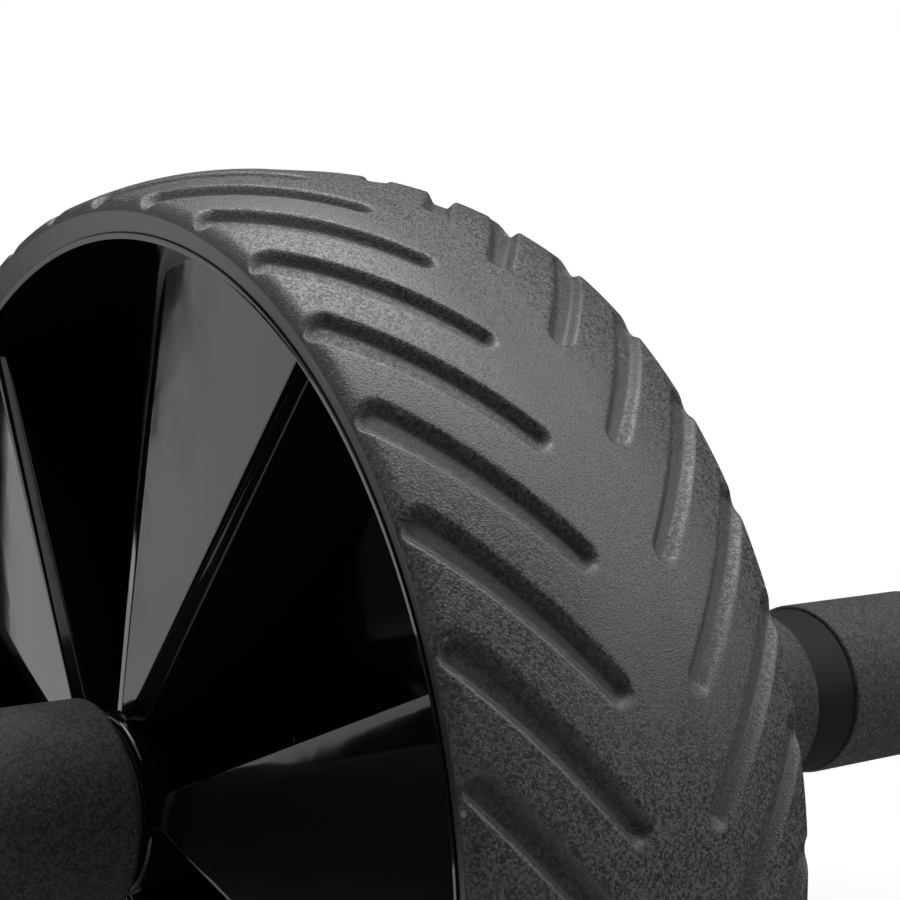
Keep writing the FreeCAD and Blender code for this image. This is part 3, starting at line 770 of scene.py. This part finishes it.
def tyre_finish(finish):
    material, tree, surface = new_finish("tread_rubber")
    grain = effect(tree, "sandy_grain", Scale=3000.0)
    patches = effect(tree, "soft_patches", Scale=55.0)
    specks = effect(tree, "dust_specks", Scale=620.0, Share=0.06)
    where_at = put(tree, "ShaderNodeTexCoord").outputs["Object"]
    aside = sums(tree, "ABSOLUTE", put(tree, "ShaderNodeSeparateXYZ", {0: where_at}).outputs["Y"])
    shoulder = between(tree, aside, DUST_START, DUST_FULL)
    across = put(tree, "ShaderNodeVectorMath", {0: where_at, 1: (1.0, 0.0, 1.0)}, operation="MULTIPLY")
    radius = put(tree, "ShaderNodeVectorMath", {0: across.outputs[0]}, operation="LENGTH").outputs["Value"]
    flank = between(tree, radius, PLAIN_END, GRAIN_START, 1.0, 0.0)
    sunk = put(tree, "ShaderNodeAttribute", attribute_name="slot").outputs["Fac"]
    plain = sums(tree, "MAXIMUM", flank, sums(tree, "MULTIPLY", sunk, 0.5))
    rubber = blended(tree, grain["Tone"], shade(finish.tyre, 0.45), shade(finish.tyre, 1.5))
    rubber = blended(tree, sums(tree, "MULTIPLY", patches["Mask"], 0.25), rubber, shade(finish.tyre, 1.25))
    # Painted shade: the rubber is painted darker down in the slots, more so the deeper it lies
    rubber = blended(tree, sums(tree, "MULTIPLY", sunk, 0.5), rubber, shade(finish.tyre, 0.5))
    dust = sums(tree, "MULTIPLY", sums(tree, "MULTIPLY", specks["Mask"], shoulder), patches["Mask"])
    rubber = blended(tree, sums(tree, "MULTIPLY", dust, 0.7), rubber, shade(finish.tyre_dust, 1))
    # Painted shade: the plain sidewall is painted darker than the tread, where it turns down and away from
    # the lamps
    rubber = blended(tree, flank, rubber, shade(finish.tyre, 0.45))
    rough = between(tree, grain["Tone"], 0.0, 1.0, 0.38, 0.6)
    rough = sums(tree, "ADD", rough, sums(tree, "MULTIPLY", sunk, 0.1))
    rough = between(tree, flank, 0.0, 1.0, rough, 0.36)
    height = sums(tree, "MULTIPLY", grain["Height"], sums(tree, "SUBTRACT", 1.0, plain))
    join(tree, surface, Base_Color=rubber, Specular_IOR_Level=0.7, Roughness=rough,
         Normal=bump(tree, height, 0.6, 0.21 * MM))
    return material


def rim_finish(finish):
    material, tree, surface = new_finish("gloss_black_moulding")
    ripple = effect(tree, "soft_patches", Scale=70.0)
    smears = effect(tree, "soft_patches", Scale=38.0)
    specks = effect(tree, "dust_specks", Scale=1600.0, Share=0.004)
    base = blended(tree, specks["Mask"], shade(finish.rim, 1), shade(finish.rim, 8))
    join(tree, surface, Base_Color=base, IOR=1.5, Specular_Tint=(1.0, 0.97, 0.96, 1.0),
         Roughness=between(tree, smears["Mask"], 0.0, 1.0, 0.06, 0.1),
         Normal=bump(tree, ripple["Height"], 0.25, 0.2 * MM))
    return material


def grip_finish(finish):
    material, tree, surface = new_finish("pebbled_foam")
    grain = effect(tree, "sandy_grain", Scale=2400.0)
    specks = effect(tree, "dust_specks", Scale=1900.0, Share=0.12)
    patches = effect(tree, "soft_patches", Scale=45.0)
    foam = blended(tree, grain["Tone"], shade(finish.grip, 0.5), shade(finish.grip, 1.5))
    foam = blended(tree, sums(tree, "MULTIPLY", specks["Mask"], 0.8), foam, shade(finish.grip, 3.5))
    join(tree, surface, Base_Color=foam, Specular_IOR_Level=0.4,
         Roughness=between(tree, patches["Mask"], 0.0, 1.0, 0.6, 0.74),
         Normal=bump(tree, grain["Height"], 0.5, 0.25 * MM))
    return material


def moulded_finish(name, base, smoothest, roughest, shine=0.5):
    """Satin moulded plastic with a faint grain and handling marks, between two roughnesses."""
    material, tree, surface = new_finish(name)
    grain = effect(tree, "sandy_grain", Scale=3200.0)
    patches = effect(tree, "soft_patches", Scale=90.0)
    tone = blended(tree, patches["Mask"], shade(base, 0.85), shade(base, 1.15))
    join(tree, surface, Base_Color=tone, Specular_IOR_Level=shine,
         Roughness=between(tree, patches["Mask"], 0.0, 1.0, smoothest, roughest),
         Normal=bump(tree, grain["Height"], 0.2, 0.05 * MM))
    return material


def steel_finish(finish):
    """Zinc-plated steel with turning marks round the axle."""
    material, tree, surface = new_finish("zinc_plated_steel")
    where = put(tree, "ShaderNodeTexCoord").outputs["Object"]
    stretched = put(tree, "ShaderNodeMapping", {"Vector": where, "Scale": (1.0, 40.0, 1.0)}).outputs[0]
    rings = effect(tree, "sandy_grain", Vector=stretched, Scale=120.0)
    patches = effect(tree, "soft_patches", Scale=150.0)
    tone = blended(tree, patches["Mask"], shade(finish.steel, 0.88), shade(finish.steel, 1.12))
    join(tree, surface, Base_Color=tone, Metallic=1.0,
         Roughness=between(tree, rings["Tone"], 0.0, 1.0, 0.26, 0.42),
         Normal=bump(tree, rings["Height"], 0.15, 0.03 * MM))
    return material


# Stage

def stage_rays(tree):
    """One for rays that show the background: the camera's, and those off gloss or through glass."""
    path = put(tree, "ShaderNodeLightPath").outputs
    seen = sums(tree, "MAXIMUM", path["Is Camera Ray"], path["Is Glossy Ray"])
    return sums(tree, "MAXIMUM", seen, path["Is Transmission Ray"])


def light_world(stage):
    world = bpy.data.worlds.new("studio")
    world.use_nodes = True
    tree = world.node_tree
    tree.nodes.clear()
    level = sums(tree, "ADD", sums(tree, "MULTIPLY", stage_rays(tree), 1 - stage.sky), stage.sky)
    sky = put(tree, "ShaderNodeBackground", {"Color": (1, 1, 1, 1), "Strength": level})
    put(tree, "ShaderNodeOutputWorld", {"Surface": sky.outputs[0]})
    bpy.context.scene.world = world


def floor_finish(stage):
    """A pale floor that keeps the shadow near the object and is white further off."""
    material = bpy.data.materials.new("pale_floor")
    material.use_nodes = True
    tree = material.node_tree
    tree.nodes.clear()
    where = put(tree, "ShaderNodeTexCoord").outputs["Object"]
    away = put(tree, "ShaderNodeVectorMath", {0: where}, operation="LENGTH").outputs["Value"]
    far = sums(tree, "MULTIPLY", between(tree, away, SHADOW_START, SHADOW_END), stage_rays(tree))
    card = put(tree, "ShaderNodeBsdfDiffuse", {"Color": (*stage.floor, 1)})
    white = put(tree, "ShaderNodeEmission", {"Color": (1, 1, 1, 1), "Strength": 1.0})
    mixed = put(tree, "ShaderNodeMixShader", {0: far, 1: card.outputs[0], 2: white.outputs[0]})
    put(tree, "ShaderNodeOutputMaterial", {"Surface": mixed.outputs[0]})
    return material


def lay_floor(stage):
    mesh = bmesh.new()
    bmesh.ops.create_circle(mesh, cap_ends=True, radius=FLOOR_RADIUS, segments=FLOOR_SEGMENTS)
    bmesh.ops.translate(mesh, verts=mesh.verts, vec=(0, 0, CAD_BOX[0].z))
    floor = to_object(mesh, "studio_floor")
    floor.data.materials.append(floor_finish(stage))


def card_finish(name, level):
    material = bpy.data.materials.new(name)
    material.use_nodes = True
    tree = material.node_tree
    tree.nodes.clear()
    card = put(tree, "ShaderNodeEmission", {"Color": (level, level, level, 1)})
    put(tree, "ShaderNodeOutputMaterial", {"Surface": card.outputs[0]})
    return material


def stand_card(material, name, first, last, bend):
    """A card that only gloss sees: its bend, turned about Z from the first angle to the last."""
    mesh = bmesh.new()
    section = [mesh.verts.new((-reach, 0, CAD_BOX[0].z + MM + height)) for reach, height in bend]
    edges = [mesh.edges.new(pair) for pair in zip(section, section[1:])]
    turned(mesh, math.radians(first), "Z")
    bmesh.ops.spin(mesh, geom=section + edges, cent=(0, 0, 0), axis=(0, 0, 1),
                   angle=math.radians(last - first), steps=CARD_STEPS)
    card = to_object(mesh, name)
    card.data.materials.append(material)
    card.visible_camera = card.visible_diffuse = card.visible_shadow = card.visible_transmission = False


def hang_lamp(name, direction, size, power):
    data = bpy.data.lights.new(name, "AREA")
    data.shape, data.size, data.energy = "DISK", size, power
    lamp = bpy.data.objects.new(name, data)
    lamp.location = Vector(direction).normalized() * LAMP_DISTANCE
    lamp.rotation_euler = (-lamp.location).to_track_quat("-Z", "Y").to_euler()
    bpy.context.scene.collection.objects.link(lamp)


def stand_camera(stage):
    data = bpy.data.cameras.new("photo_camera")
    data.lens = stage.lens
    camera = bpy.data.objects.new("photo_camera", data)
    turn, rise = stage.azimuth, stage.elevation
    back = Vector((math.sin(turn) * math.cos(rise), -math.cos(turn) * math.cos(rise), math.sin(rise)))
    camera.location = stage.camera
    camera.rotation_mode = "QUATERNION"
    camera.rotation_quaternion = (-back).to_track_quat("-Z", "Y")
    data.clip_start = 0.01
    bpy.context.scene.collection.objects.link(camera)
    bpy.context.scene.camera = camera


# Operators

class ROLLER_OT_tyre(bpy.types.Operator):
    """Builds the tyre with its slotted tread"""

    bl_idname = "roller.tyre"
    bl_label = "Tyre"

    def execute(self, context):
        roller = context.scene.roller
        tyre = smooth_faces(build_tyre(roller.tyre), crease=50)
        place(tyre, "wheel", "tyre_rubber", tyre_finish(roller.finish), "tyre")
        return {"FINISHED"}


class ROLLER_OT_rims(bpy.types.Operator):
    """Builds the two spoked halves of the rim"""

    bl_idname = "roller.rims"
    bl_label = "Rim halves"

    def execute(self, context):
        roller = context.scene.roller
        finish = rim_finish(roller.finish)
        for side in SIDES:
            place(build_rim(roller.rim, side), "wheel", "rim_plastic", finish, f"rim_{side}")
        return {"FINISHED"}


class ROLLER_OT_grips(bpy.types.Operator):
    """Builds the grips and the bands round them"""

    bl_idname = "roller.grips"
    bl_label = "Grips and bands"

    def execute(self, context):
        roller = context.scene.roller
        foam = grip_finish(roller.finish)
        satin = moulded_finish("satin_band", roller.finish.band, 0.6, 0.7, shine=0.25)
        for side in SIDES:
            place(build_grip(roller.grip, side), "handlebar", "grip_rubber", foam, f"grip_{side}")
            place(build_band(roller.grip, side), "handlebar", "band_plastic", satin, f"grip_band_{side}")
        return {"FINISHED"}


class ROLLER_OT_fittings(bpy.types.Operator):
    """Gives the caps, cores, bushes, washers, axle, nuts and screws their finishes"""

    bl_idname = "roller.fittings"
    bl_label = "Caps and fittings"

    def execute(self, context):
        finish = context.scene.roller.finish
        kinds = {
            "cap_plastic": (moulded_finish("satin_cap", finish.cap, 0.34, 0.46), ["end_cap"]),
            "core_plastic": (moulded_finish("moulded_core", finish.core, 0.4, 0.55), ["handle_core"]),
            "bush_nylon": (moulded_finish("natural_nylon", finish.nylon, 0.4, 0.5),
                           ["bush", "thrust_washer"]),
            "steel": (steel_finish(finish), ["axle_washer", "lock_nut"]),
        }
        for slot, (material, words) in kinds.items():
            for node in [f"{word}_{side}" for word in words for side in SIDES]:
                dress(node, material)
        for node in ("axle", "rim_screws"):
            dress(node, kinds["steel"][0])
        return {"FINISHED"}


class ROLLER_OT_stage(bpy.types.Operator):
    """Lays the floor, lights the object and stands the camera"""

    bl_idname = "roller.stage"
    bl_label = "Stage"

    def execute(self, context):
        stage = context.scene.roller.stage
        light_world(stage)
        lay_floor(stage)
        finishes = {tone: card_finish(f"{tone}_card", level) for tone, level in CARD_TONES.items()}
        for name, tone, first, last, bend in CARDS:
            stand_card(finishes[tone], name, first, last, bend)
        for lamp in LAMPS:
            hang_lamp(*lamp)
        stand_camera(stage)
        context.scene.view_settings.view_transform = "Standard"
        return {"FINISHED"}


OPERATORS = (ROLLER_OT_tyre, ROLLER_OT_rims, ROLLER_OT_grips, ROLLER_OT_fittings, ROLLER_OT_stage)


class ROLLER_PT_panel(bpy.types.Panel):
    bl_label = "Ab Wheel Roller"
    bl_idname = "ROLLER_PT_panel"
    bl_space_type = "VIEW_3D"
    bl_region_type = "UI"
    bl_category = "Roller"

    def draw(self, context):
        for operator in OPERATORS:
            self.layout.operator(operator.bl_idname)
        for group in ("tyre", "rim", "grip", "finish", "stage"):
            box = self.layout.box()
            box.label(text=group.title())
            values = getattr(context.scene.roller, group)
            for name in values.__annotations__:
                box.prop(values, name)


CLASSES = (RollerTyre, RollerRim, RollerGrip, RollerFinish, RollerStage, RollerSettings,
           *OPERATORS, ROLLER_PT_panel)


def register():
    for part in CLASSES:
        bpy.utils.register_class(part)
    bpy.types.Scene.roller = PointerProperty(type=RollerSettings)


def unregister():
    del bpy.types.Scene.roller
    for part in reversed(CLASSES):
        bpy.utils.unregister_class(part)


def main():
    register()
    for operator in OPERATORS:
        group, name = operator.bl_idname.split(".")
        getattr(getattr(bpy.ops, group), name)()


if __name__ == "__main__":
    main()
